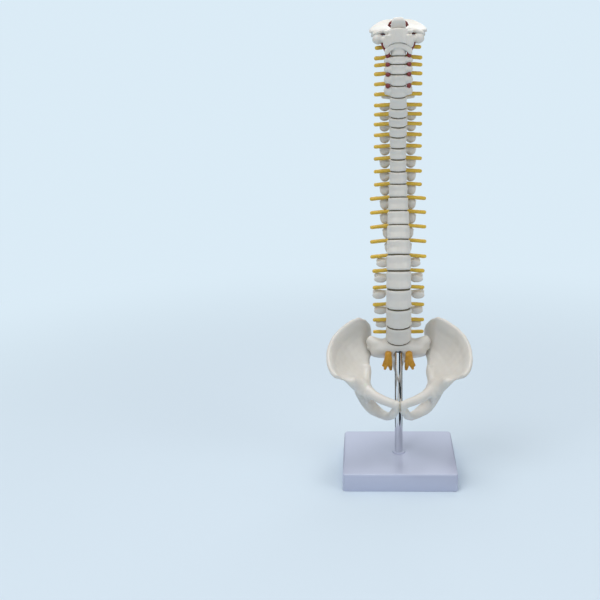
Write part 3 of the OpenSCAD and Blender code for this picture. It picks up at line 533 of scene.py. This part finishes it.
class SPINE_OT_base(bpy.types.Operator):
    """Base plate: a hollow square tray turned over, with ribs, a hub and a low boss"""
    bl_idname = "spine.base"
    bl_label = "Base plate"

    def execute(self, context):
        look = context.scene.spine_stand
        low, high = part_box("base_plate")
        rod_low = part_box("support_rod")[1].x
        width = high.x - low.x
        roof = 0.018
        bm = bmesh.new()
        bmesh.ops.create_cube(bm, size=1, matrix=Matrix.Translation((0, 0, roof / 2))
                              @ Matrix.Diagonal((width, width, roof, 1)))
        uprights = [e for e in bm.edges if abs(e.verts[0].co.z - e.verts[1].co.z) > 0.5 * roof]
        bmesh.ops.bevel(bm, geom=uprights, offset=look.corner, affect="EDGES", segments=10,
                        profile=0.5, material=-1)
        top = [e for e in bm.edges if all(v.co.z > roof - 1e-5 for v in e.verts)]
        bmesh.ops.bevel(bm, geom=top, offset=look.edge, affect="EDGES", segments=6,
                        profile=0.5, material=-1)
        bm.normal_update()
        under = [f for f in bm.faces if f.normal.z < -0.9]
        bmesh.ops.bevel(bm, geom=[e for f in under for e in f.edges], offset=0.0004, affect="EDGES",
                        segments=2, profile=0.5, material=-1)
        bm.normal_update()
        under = sorted((f for f in bm.faces if f.normal.z < -0.9), key=lambda f: -f.calc_area())[:1]
        bmesh.ops.inset_region(bm, faces=under, thickness=look.wall, use_even_offset=True)
        raised = bmesh.ops.extrude_face_region(bm, geom=under)["geom"]
        bmesh.ops.delete(bm, geom=under, context="FACES")
        inner = [g for g in raised if isinstance(g, bmesh.types.BMVert)]
        bmesh.ops.translate(bm, verts=inner, vec=(0, 0, roof - look.wall))
        bmesh.ops.recalc_face_normals(bm, faces=bm.faces)
        for turn in (0, 90):
            rib = bmesh.ops.create_cube(
                bm, size=1, matrix=Matrix.Rotation(math.radians(turn), 4, "Z")
                @ Matrix.Translation((0, 0, 0.5 * roof + 0.001))
                @ Matrix.Diagonal((width - look.wall, 0.002, roof - 0.0044, 1)))
            bmesh.ops.bevel(bm, geom=list({e for v in rib["verts"] for e in v.link_edges}),
                            offset=0.0003, affect="EDGES", segments=2, profile=0.5, material=-1)
        self.hub(bm, 0.009, 0.0072, 0.0, roof - 0.5 * look.wall)
        self.boss(bm, 1.65 * rod_low, roof - 0.0006, high.z)
        base = object_from(bm, "base_shell")
        shade_smooth(base)
        base.data.set_sharp_from_angle(angle=math.radians(40))
        tint = rgba(look.base_colour)
        dark = tuple(0.72 * c for c in tint[:3]) + (1,)
        finish(base, plastic("Base plastic", tint, dark, patch_scale=22, patch=0.06, hollow=0, grain=1600,
                             height=0.000012, roughness=0.36, spread=0.06, coat=0.15), "base", "base_plate")
        return {"FINISHED"}

    def hub(self, bm, outer, inner, low, high):
        """Short tube under the plate that takes the washer and the nut."""
        ring = bmesh.ops.create_circle(bm, segments=48, radius=outer, matrix=Matrix.Translation((0, 0, low)))
        wall = list({e for v in ring["verts"] for e in v.link_edges})
        first = wall
        for radius, height in ((outer, high), (inner, high), (inner, low)):
            grown = bmesh.ops.extrude_edge_only(bm, edges=wall)["geom"]
            verts = [g for g in grown if isinstance(g, bmesh.types.BMVert)]
            wall = [g for g in grown if isinstance(g, bmesh.types.BMEdge) and all(v in verts for v in g.verts)]
            for v in verts:
                flat = Vector((v.co.x, v.co.y, 0)).normalized() * radius
                v.co = (flat.x, flat.y, height)
        bmesh.ops.bridge_loops(bm, edges=first + wall)

    def boss(self, bm, radius, low, high):
        """Low round boss at the rod's foot."""
        made = bmesh.ops.create_cone(
            bm, cap_ends=True, segments=64, radius1=radius, radius2=radius, depth=high - low,
            matrix=Matrix.Translation((0, 0, 0.5 * (low + high))))
        rim = {e for v in made["verts"] for e in v.link_edges if all(w.co.z > high - 1e-5 for w in e.verts)}
        bmesh.ops.bevel(bm, geom=list(rim), offset=0.0006, affect="EDGES", segments=4, profile=0.5, material=-1)


class SPINE_OT_rod(bpy.types.Operator):
    """Plated rod with its stud, and the washer and nut under the plate"""
    bl_idname = "spine.rod"
    bl_label = "Support rod"

    def execute(self, context):
        look = context.scene.spine_stand
        low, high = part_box("support_rod")
        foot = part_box("base_plate")[1].z
        radius = high.x
        bm = bmesh.new()
        made = bmesh.ops.create_cone(
            bm, cap_ends=True, segments=96, radius1=radius, radius2=radius, depth=high.z - foot,
            matrix=Matrix.Translation((0, 0, 0.5 * (foot + high.z))))
        rims = {e for v in made["verts"] for e in v.link_edges
                if abs(e.verts[0].co.z - e.verts[1].co.z) < 1e-6}
        bmesh.ops.bevel(bm, geom=list(rims), offset=0.0004, affect="EDGES", segments=3, profile=0.5, material=-1)
        bmesh.ops.create_cone(
            bm, cap_ends=True, segments=48, radius1=0.0025, radius2=0.0025, depth=foot - low.z + 0.001,
            matrix=Matrix.Translation((0, 0, 0.5 * (foot + low.z) + 0.0005)))
        rod = object_from(bm, "plated_rod")
        shade_smooth(rod)
        rod.data.set_sharp_from_angle(angle=math.radians(35))
        finish(rod, metal("Chrome", rgba(look.rod_colour), 0.05, 0.04), "steel", "support_rod")
        zinc = metal("Zinc plate", (0.5, 0.5, 0.52, 1), 0.3, 0.2)
        for node in ("rod_washer", "rod_nut", "spine_wire"):
            obj = NODES[node]
            obj.data.materials.clear()
            obj.data.materials.append(zinc)
        # Painted shadow: a black band round the rod's top, where the sacrum's edge shades the rod.
        roof = 0.1264
        band_height = 0.0018
        bm = bmesh.new()
        made = bmesh.ops.create_cone(
            bm, cap_ends=True, segments=96, radius1=radius + 0.00006, radius2=radius + 0.00006, depth=band_height,
            matrix=Matrix.Translation((0, 0, roof - 0.5 * band_height)))
        rims = {e for v in made["verts"] for e in v.link_edges
                if abs(e.verts[0].co.z - e.verts[1].co.z) < 1e-6}
        bmesh.ops.bevel(bm, geom=list(rims), offset=0.0003, affect="EDGES", segments=3, profile=0.5, material=-1)
        dark_band = object_from(bm, "rod_painted_shadow")
        shade_smooth(dark_band)
        dark_band.data.set_sharp_from_angle(angle=math.radians(35))
        finish(dark_band, plastic("Black painted shadow", (0.02, 0.02, 0.022, 1), (0.03, 0.03, 0.03, 1), hollow=0,
                               roughness=0.35), "steel")
        return {"FINISHED"}


class SPINE_OT_pelvis(bpy.types.Operator):
    """Hip bones, sacrum and pubic cushion"""
    bl_idname = "spine.pelvis"
    bl_label = "Pelvis"

    def execute(self, context):
        bones = context.scene.spine_bones
        nerves = context.scene.spine_nerves
        for name, side in (("left", 1), ("right", -1)):
            cast_bone("cast_hip_" + name, "hip_bone_" + name, bones.pelvis_grain, 2 * bones.softness,
                      lambda bm: self.hip_forms(bm, side),
                      ([(side * 45.5, -39, -29), (side * 44, -34, -34), (side * 27.5, 7, -31),
                        (side * 32, -12, -60)], 11, 160))
        cast_bone("cast_sacrum", "sacrum", bones.pelvis_grain, 2 * bones.softness, self.sacrum_forms)
        cushion = object_from(clean_copy("pubic_disc"), "pubic_cushion")
        cast(cushion, 0.0004, 3)
        # Painted shade: the hollows marked here darken the cushion towards grey brown.
        mark_hollows(cushion)
        finish(cushion, plastic("Cushion", rgba(nerves.cushion_colour), (0.35, 0.3, 0.22, 1), patch=0.2,
                                roughness=0.5), "cartilage", "pubic_disc")
        return {"FINISHED"}

    def hip_forms(self, bm, side):
        """Fuller branches round the opening beside the pubic joint."""
        swept(bm, [(31, -27, -43.5), (24, -35.4, -46.4), (14, -42, -48.8), (6, -46, -50.4)],
              (5.4, 4.4, 3.8, 3.8), side, PELVIS)
        swept(bm, [(31, -3.5, -65), (25, -5, -72), (18, -12, -74), (12, -25, -71.8), (7, -38, -65.8), (5, -44, -58.6)],
              (6.4, 6.2, 4.8, 4.2, 4, 3.6), side, PELVIS)

    def sacrum_forms(self, bm):
        """Upper ends of the side masses, and the roof of the rod's socket."""
        for side in (1, -1):
            swept(bm, [(7, 3, -7), (15, 4.4, -7.4), (23, 6.4, -6), (30, 10, -3)], (6.4, 5.6, 5.8, 4.6), side, PELVIS)
            swept(bm, [(7, 4.6, -11.4), (15, 5.6, -12.4), (23, 7, -12.2), (30, 10, -9.5)], (4, 4.2, 4.6, 3.8), side, PELVIS)
        slab(bm, (0, 0.6, -8.7), (9.6, 11, 4.6), place=PELVIS)


class SPINE_OT_vertebrae(bpy.types.Operator):
    """The 22 vertebrae from the fifth lumbar to the third cervical"""
    bl_idname = "spine.vertebrae"
    bl_label = "Vertebrae"

    def execute(self, context):
        look = context.scene.spine_bones
        for name in LUMBAR + THORACIC + CERVICAL:
            grain = look.grain * (1.25 if name in LUMBAR else 1.1 if name in THORACIC else 0.9)
            cast_bone("cast_" + name, "vertebra_" + name, grain, look.softness,
                      lambda bm: self.side_forms(bm, name))
        return {"FINISHED"}

    def side_forms(self, bm, name):
        """Full side processes: broad on the back, lens-like beside the neck's bodies."""
        place, wide, depth, height = seat(name)
        back = 0.35 * depth
        if name not in CERVICAL:
            spread = {"t1": 2.6, "t2": 2.4, "t3": 1.8, "t4": 1.2, "t5": 0.6}.get(name, 0)
            drum(bm, (wide + spread, 0.9 * depth, 0.76 * height), place @ Matrix.Translation((0, -0.0005, 0)))
        if name in LUMBAR:
            reach, drop = {"l5": (22.5, 0.4), "l4": (24, 1.4), "l3": (25.5, 2.4), "l2": (24, 2.8),
                           "l1": (21.5, 2.8)}[name]
            pair(blob, bm, (reach - 6.4, back + 4.6, 0.12 * height - drop), (6.6, 1.6, 3.8), place=place)
        elif name in THORACIC:
            reach = {"t12": 12, "t11": 14}.get(name, 16.4)
            pair(blob, bm, (reach - 3.9, back + 7.6, 0.06 * height), (5, 2.4, 0.46 * height), place=place)
        elif name != "c7":
            pair(blob, bm, (8, 0.2, 0.2), (5.2, 2.6, 0.4 * height), place=place)


class SPINE_OT_head(bpy.types.Operator):
    """Axis, atlas and the fragment of the skull base"""
    bl_idname = "spine.head"
    bl_label = "Top bones"

    def execute(self, context):
        look = context.scene.spine_bones
        cast_bone("cast_axis", "axis_c2", 0.9 * look.grain, look.softness)
        cast_bone("cast_atlas", "atlas_c1", 0.9 * look.grain, look.softness, self.atlas_forms)
        occiput = cast_bone("cast_occiput", "occipital_bone", 0.85 * look.grain, 2 * look.softness, self.occiput_forms)
        droop(occiput, 0.009, 17)
        self.pad(context)
        return {"FINISHED"}

    def atlas_forms(self, bm):
        """Flanks of the bell that the atlas makes over the axis."""
        pair(blob, bm, (10.6, -2.4, 13.2), (3.6, 2.6, 6), place=HEAD)
        pair(blob, bm, (18.4, 4, 15.6), (5.4, 3.4, 4.8), place=HEAD)

    def occiput_forms(self, bm):
        """Thick lower side of the dish, down towards the atlas's arms."""
        pair(blob, bm, (16.6, 6.4, 23.2), (7.4, 5, 2.4), place=HEAD)

    def pad(self, context):
        """Dark pad in the joint between axis and atlas, coloured with the discs' painted shade."""
        bm = bmesh.new()
        inner, outer = 15.6 * MM, 16.6 * MM
        verts = [bm.verts.new(HEAD @ Vector((0, y * MM, -3.8 * MM + r)))
                 for y, r in ((-3.6, inner), (2.6, inner), (2.6, outer), (-3.6, outer))]
        bm.faces.new(verts)
        hinge = HEAD @ Vector((0, 0, -3.8 * MM))
        bmesh.ops.rotate(bm, verts=bm.verts, cent=hinge, matrix=Matrix.Rotation(math.radians(-42), 3, "Y"))
        bmesh.ops.spin(bm, geom=bm.verts[:] + bm.edges[:] + bm.faces[:], cent=hinge, axis=(0, 1, 0),
                       angle=math.radians(84), steps=40, use_merge=False)
        bmesh.ops.recalc_face_normals(bm, faces=bm.faces)
        pad = object_from(bm, "joint_pad")
        shade_smooth(pad)
        pad.data.set_sharp_from_angle(angle=math.radians(40))
        finish(pad, painted_shade_disc_material(), "disc")


class SPINE_OT_discs(bpy.types.Operator):
    """Soft discs between the vertebral bodies, with rounded rims"""
    bl_idname = "spine.discs"
    bl_label = "Discs"

    def execute(self, context):
        # Painted shade: every disc takes the near-black painted shade material.
        soft = painted_shade_disc_material()
        for node in DISCS:
            bm = clean_copy(node)
            bmesh.ops.dissolve_limit(bm, angle_limit=math.radians(1), verts=bm.verts, edges=bm.edges)
            bm.normal_update()
            rims = [e for e in bm.edges if len(e.link_faces) == 2 and e.calc_face_angle() > math.radians(60)]
            bmesh.ops.bevel(bm, geom=rims, offset=0.0003, affect="EDGES", segments=3, profile=0.5, material=-1)
            disc = object_from(bm, "soft_" + node)
            shade_smooth(disc)
            disc.data.set_sharp_from_angle(angle=math.radians(50))
            finish(disc, soft, "disc", node)
        return {"FINISHED"}


class SPINE_OT_nerves(bpy.types.Operator):
    """Cord with its nerve roots, and the nerves that leave the sacrum"""
    bl_idname = "spine.nerves"
    bl_label = "Nerves"

    def execute(self, context):
        look = context.scene.spine_nerves
        cord = object_from(clean_copy("spinal_cord"), "cord_and_roots")
        cast(cord, 0.0005, 4)
        lump(cord, 0.00022, 0.004, look.regain)
        # Painted shade: the hollows marked here darken the cord and roots towards dark brown.
        mark_hollows(cord)
        finish(cord, plastic("Nerve", rgba(look.colour), (0.36, 0.2, 0.02, 1), patch_scale=160, patch=0.3,
                             hollow=0.8, grain=1200, height=0.00004, roughness=0.36, soft=0.15),
               "nerve", "spinal_cord")
        bm = clean_copy("sacral_nerves")
        for side in (-1, 1):
            swept(bm, [(9.4, 0, -11), (10.2, -4.8, -14.6), (11.2, -5.4, -20), (15.4, -5, -26.6)],
                  (2.6, 3.7, 3.3, 1.6), side, PELVIS)
            swept(bm, [(9.6, -4.4, -16), (8.6, -5, -21), (7.8, -4.8, -26.6)], (3, 2.4, 1.4), side, PELVIS)
        bundles = object_from(bm, "sacral_bundles")
        cast(bundles, 0.0005, 6)
        lump(bundles, 0.0003, 0.003)
        # Painted shade: the hollows marked here darken the sacral nerves towards dark brown.
        mark_hollows(bundles)
        finish(bundles, plastic("Sacral nerve", rgba(look.sacral_colour), (0.25, 0.1, 0.01, 1),
                                patch_scale=200, patch=0.4, hollow=0.8, grain=1200, height=0.00004,
                                roughness=0.38, soft=0.1), "nerve", "sacral_nerves")
        return {"FINISHED"}


class SPINE_OT_arteries(bpy.types.Operator):
    """Vertebral arteries along the neck"""
    bl_idname = "spine.arteries"
    bl_label = "Arteries"

    def execute(self, context):
        look = context.scene.spine_nerves
        bm = clean_copy("vertebral_arteries")
        for disc, rise, tall in (("disc_c2_c3", 1.8, 4), ("disc_c3_c4", 0, 2.2), ("disc_c4_c5", 0, 2.2),
                                 ("disc_c5_c6", 0, 2.6)):
            pair(blob, bm, (9.8, -0.2, rise), (2.3, 1.9, tall), place=Matrix.Translation(centre(disc)))
        artery = object_from(bm, "red_arteries")
        cast(artery, 0.0004, 5)
        # Painted shade: the hollows marked here darken the arteries towards near-black red.
        mark_hollows(artery)
        finish(artery, plastic("Artery", rgba(look.artery_colour), (0.12, 0.005, 0.004, 1), patch_scale=220,
                               patch=0.35, hollow=0.6, grain=1200, height=0.00003, roughness=0.32, coat=0.2),
               "artery", "vertebral_arteries")
        return {"FINISHED"}


class SPINE_OT_stage(bpy.types.Operator):
    """Pale floor, soft lamps and the camera"""
    bl_idname = "spine.stage"
    bl_label = "Stage"

    def execute(self, context):
        look = context.scene.spine_stage
        self.floor(look)
        self.world(look)
        self.lamp("Key", (-0.7, -0.75, 1.3), (0, 0, 0.24), 0.9, 0.66 * look.key_power)
        self.lamp("Top", (-0.1, 0.05, 1.7), (0, 0, 0.1), 0.8, 1.05 * look.key_power)
        self.lamp("Fill", (1.0, -0.75, 0.6), (0, 0, 0.22), 0.8, look.fill_power)
        self.lamp("Back", (0.25, 0.9, 1.0), (0, 0, 0.25), 0.7, 0.5 * look.fill_power)
        for name, start, end in (("left", -134, -96), ("middle", 6, 72), ("right", 100, 134)):
            self.flag("flag_" + name, start, end)
        self.camera(look)
        context.scene.view_settings.view_transform = "Standard"
        return {"FINISHED"}

    def floor(self, look):
        bm = bmesh.new()
        bmesh.ops.create_grid(bm, x_segments=1, y_segments=1, size=6)
        floor = object_from(bm, "floor")
        material = bpy.data.materials.new("Floor")
        material.use_nodes = True
        nodes, links = material.node_tree.nodes, material.node_tree.links
        shader = nodes["Principled BSDF"]
        shader.inputs["Roughness"].default_value = 0.9
        shader.inputs["Specular IOR Level"].default_value = 0.2
        place = nodes.new("ShaderNodeTexCoord")
        cloud = nodes.new("ShaderNodeTexNoise")
        cloud.inputs["Scale"].default_value = 3
        links.new(place.outputs["Object"], cloud.inputs["Vector"])
        mix = nodes.new("ShaderNodeMix")
        mix.data_type = "RGBA"
        mix.inputs["A"].default_value = rgba(look.floor_colour)
        mix.inputs["B"].default_value = tuple(0.98 * c for c in look.floor_colour[:3]) + (1,)
        links.new(cloud.outputs["Fac"], mix.inputs["Factor"])
        links.new(mix.outputs["Result"], shader.inputs["Base Color"])
        self.fade(material, place, shader, look)
        floor.data.materials.append(material)

    def fade(self, material, place, shader, look):
        """Lets the far floor pass into the backdrop, so that no line shows where it ends."""
        nodes, links = material.node_tree.nodes, material.node_tree.links
        far = nodes.new("ShaderNodeVectorMath")
        far.operation = "LENGTH"
        links.new(place.outputs["Object"], far.inputs[0])
        reach = nodes.new("ShaderNodeMapRange")
        reach.interpolation_type = "SMOOTHSTEP"
        reach.inputs["From Min"].default_value = look.fade_start
        reach.inputs["From Max"].default_value = look.fade_end
        links.new(far.outputs["Value"], reach.inputs["Value"])
        light = nodes.new("ShaderNodeLightPath")
        seen = nodes.new("ShaderNodeMath")
        seen.operation = "MAXIMUM"
        links.new(light.outputs["Is Camera Ray"], seen.inputs[0])
        links.new(light.outputs["Is Glossy Ray"], seen.inputs[1])
        amount = nodes.new("ShaderNodeMath")
        amount.operation = "MULTIPLY"
        links.new(seen.outputs[0], amount.inputs[0])
        links.new(reach.outputs["Result"], amount.inputs[1])
        glow = nodes.new("ShaderNodeEmission")
        glow.inputs["Color"].default_value = rgba(look.backdrop_colour)
        blend = nodes.new("ShaderNodeMixShader")
        links.new(amount.outputs[0], blend.inputs["Fac"])
        links.new(shader.outputs[0], blend.inputs[1])
        links.new(glow.outputs[0], blend.inputs[2])
        links.new(blend.outputs[0], nodes["Material Output"].inputs["Surface"])

    def flag(self, name, start, end, radius=0.084, height=0.125):
        """Dark curved screen that only gleams see, from azimuth start to end as the camera counts them."""
        bm = bmesh.new()
        low = bm.verts.new((0, -radius, 0.001))
        high = bm.verts.new((0, -radius, height))
        edge = bm.edges.new((low, high))
        bmesh.ops.rotate(bm, verts=bm.verts, cent=(0, 0, 0), matrix=Matrix.Rotation(math.radians(start), 3, "Z"))
        bmesh.ops.spin(bm, geom=[low, high, edge], cent=(0, 0, 0), axis=(0, 0, 1),
                       angle=math.radians(end - start), steps=16, use_merge=False)
        screen = object_from(bm, name)
        material = bpy.data.materials.get("Flag") or bpy.data.materials.new("Flag")
        material.use_nodes = True
        shader = material.node_tree.nodes["Principled BSDF"]
        shader.inputs["Base Color"].default_value = (0.012, 0.012, 0.014, 1)
        shader.inputs["Roughness"].default_value = 1
        screen.data.materials.append(material)
        screen.visible_camera = False
        screen.visible_diffuse = False
        screen.visible_transmission = False
        screen.visible_shadow = False

    def world(self, look):
        world = bpy.data.worlds.new("Studio")
        world.use_nodes = True
        bpy.context.scene.world = world
        nodes, links = world.node_tree.nodes, world.node_tree.links
        back = nodes["Background"]
        light = nodes.new("ShaderNodeLightPath")
        mix = nodes.new("ShaderNodeMix")
        mix.data_type = "RGBA"
        mix.inputs["A"].default_value = (0.34, 0.345, 0.355, 1)
        mix.inputs["B"].default_value = rgba(look.backdrop_colour)
        seen = nodes.new("ShaderNodeMath")
        seen.operation = "MAXIMUM"
        links.new(light.outputs["Is Camera Ray"], seen.inputs[0])
        links.new(light.outputs["Is Glossy Ray"], seen.inputs[1])
        links.new(seen.outputs[0], mix.inputs["Factor"])
        links.new(mix.outputs["Result"], back.inputs["Color"])
        back.inputs["Strength"].default_value = 1.0

    def lamp(self, name, place, target, size, power):
        data = bpy.data.lights.new(name, "AREA")
        data.shape = "SQUARE"
        data.size = size
        data.energy = power
        obj = bpy.data.objects.new(name, data)
        obj.location = place
        obj.rotation_euler = (Vector(target) - Vector(place)).to_track_quat("-Z", "Y").to_euler()
        bpy.context.scene.collection.objects.link(obj)

    def camera(self, look):
        pan, tilt, roll = (math.radians(a) for a in (3.84, 15.15, -1.47))
        ahead = Vector((-math.sin(pan) * math.cos(tilt), math.cos(pan) * math.cos(tilt), -math.sin(tilt)))
        right = Vector((math.cos(pan), math.sin(pan), 0))
        up = right.cross(ahead)
        side = right * math.cos(roll) + up * math.sin(roll)
        top = -right * math.sin(roll) + up * math.cos(roll)
        data = bpy.data.cameras.new("Camera")
        data.lens = look.lens
        data.sensor_width = 36
        data.clip_start = 0.01
        obj = bpy.data.objects.new("Camera", data)
        obj.matrix_world = Matrix((
            (side.x, top.x, -ahead.x, -0.0266), (side.y, top.y, -ahead.y, -1.0426),
            (side.z, top.z, -ahead.z, 0.4615), (0, 0, 0, 1)))
        bpy.context.scene.collection.objects.link(obj)
        bpy.context.scene.camera = obj


OPERATORS = (SPINE_OT_base, SPINE_OT_rod, SPINE_OT_pelvis, SPINE_OT_vertebrae, SPINE_OT_head,
             SPINE_OT_discs, SPINE_OT_nerves, SPINE_OT_arteries, SPINE_OT_stage)


class SPINE_PT_panel(bpy.types.Panel):
    """Lists the pieces and their settings"""
    bl_idname = "SPINE_PT_panel"
    bl_label = "Spine model"
    bl_space_type = "VIEW_3D"
    bl_region_type = "UI"
    bl_category = "Spine model"

    def draw(self, context):
        layout = self.layout
        for settings in ("spine_bones", "spine_nerves", "spine_stand", "spine_stage"):
            group = getattr(context.scene, settings)
            box = layout.box()
            for name in group.__annotations__:
                box.prop(group, name)
        for operator in OPERATORS:
            layout.operator(operator.bl_idname)


SETTINGS = {
    "spine_bones": BoneSettings,
    "spine_nerves": NerveSettings,
    "spine_stand": StandSettings,
    "spine_stage": StageSettings,
}


def register():
    for settings in SETTINGS.values():
        bpy.utils.register_class(settings)
    for name, settings in SETTINGS.items():
        setattr(bpy.types.Scene, name, PointerProperty(type=settings))
    for operator in OPERATORS:
        bpy.utils.register_class(operator)
    bpy.utils.register_class(SPINE_PT_panel)


def unregister():
    bpy.utils.unregister_class(SPINE_PT_panel)
    for operator in reversed(OPERATORS):
        bpy.utils.unregister_class(operator)
    for name, settings in SETTINGS.items():
        delattr(bpy.types.Scene, name)
        bpy.utils.unregister_class(settings)


def main():
    register()
    bpy.ops.spine.stage()
    bpy.ops.spine.base()
    bpy.ops.spine.rod()
    bpy.ops.spine.pelvis()
    bpy.ops.spine.vertebrae()
    bpy.ops.spine.head()
    bpy.ops.spine.discs()
    bpy.ops.spine.nerves()
    bpy.ops.spine.arteries()


if __name__ == "__main__":
    main()
